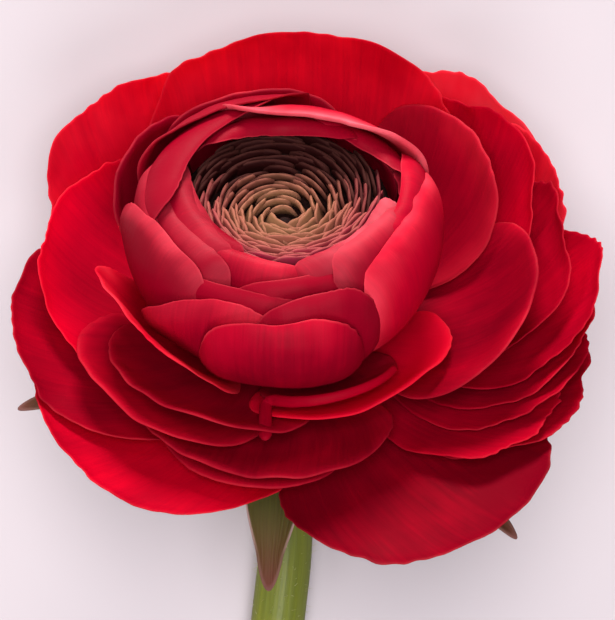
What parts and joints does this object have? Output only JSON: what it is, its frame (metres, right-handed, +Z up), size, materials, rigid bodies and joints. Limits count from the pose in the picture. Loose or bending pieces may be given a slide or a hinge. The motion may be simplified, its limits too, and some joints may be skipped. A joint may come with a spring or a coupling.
{
  "type": "persian buttercup flower",
  "caption": "Double flower with overlapping red petals closed round a small eye, sepals behind them and a plain cut stem, laid down on its side.",
  "frame": {"origin": "middle of the bottom of the whole flower's bounding box, on the surface it lies on", "axes": "+Y along the level run of the stem, from the cut end towards the flower head; +Z up; +X to the right of the head as seen from above"},
  "size_m": [0.0776, 0.16, 0.051],
  "materials": {
    "guard_petal": "fresh petal, satin, finely veined, deep red",
    "cup_petal": "fresh petal, satin, finely veined, deep red",
    "ball_petal": "fresh petal, satin, red with a paler rolled rim",
    "heart": "packed small petals, dusty rose turning tan",
    "sepal": "drying leaf, olive brown with a pale edge",
    "stem": "fresh green stem, matte, finely haired"
  },
  "bodies": {
    "root": {"guard_petal_back_right_under": "guard_petal", "guard_petal_back_left_under": "guard_petal", "guard_petal_front_right": "guard_petal", "guard_petal_front_left": "guard_petal", "guard_petal_left": "guard_petal", "guard_petal_right_1": "guard_petal", "guard_petal_right_2": "guard_petal", "guard_petal_right_3": "guard_petal", "guard_petal_right_4": "guard_petal", "guard_petal_right_5": "guard_petal", "guard_petal_right_6": "guard_petal", "guard_petal_right_back_1": "guard_petal", "guard_petal_right_back_2": "guard_petal", "guard_petal_back_right": "guard_petal", "guard_petal_back": "guard_petal", "guard_petal_back_left": "guard_petal", "guard_petal_left_back": "guard_petal", "cup_petal_front_left_1": "cup_petal", "cup_petal_front_1": "cup_petal", "cup_petal_front_2": "cup_petal", "cup_petal_right_1": "cup_petal", "cup_petal_right_2": "cup_petal", "cup_petal_front_left_2": "cup_petal", "cup_petal_front_right": "cup_petal", "cup_petal_front_3": "cup_petal", "cup_petal_left": "cup_petal", "ball_petal_left_1": "ball_petal", "ball_petal_left_2": "ball_petal", "ball_petal_left_3": "ball_petal", "ball_petal_left_4": "ball_petal", "ball_petal_left_5": "ball_petal", "ball_petal_front_1": "ball_petal", "ball_petal_front_2": "ball_petal", "ball_petal_front_3": "ball_petal", "ball_petal_front_4": "ball_petal", "ball_petal_front_5": "ball_petal", "ball_petal_front_6": "ball_petal", "ball_petal_right_1": "ball_petal", "ball_petal_right_2": "ball_petal", "ball_petal_right_3": "ball_petal", "ball_petal_right_4": "ball_petal", "ball_petal_right_5": "ball_petal", "ball_petal_back_1": "ball_petal", "ball_petal_back_2": "ball_petal", "ball_petal_back_3": "ball_petal", "ball_petal_back_4": "ball_petal", "ball_petal_back_5": "ball_petal", "ball_petal_back_6": "ball_petal", "ball_petal_back_7": "ball_petal", "ball_petal_back_8": "ball_petal", "sepal_front": "sepal", "sepal_right": "sepal", "sepal_back_right": "sepal", "sepal_back_left": "sepal", "sepal_left": "sepal", "heart": "heart", "stem": "stem"}
  },
  "joints": []
}
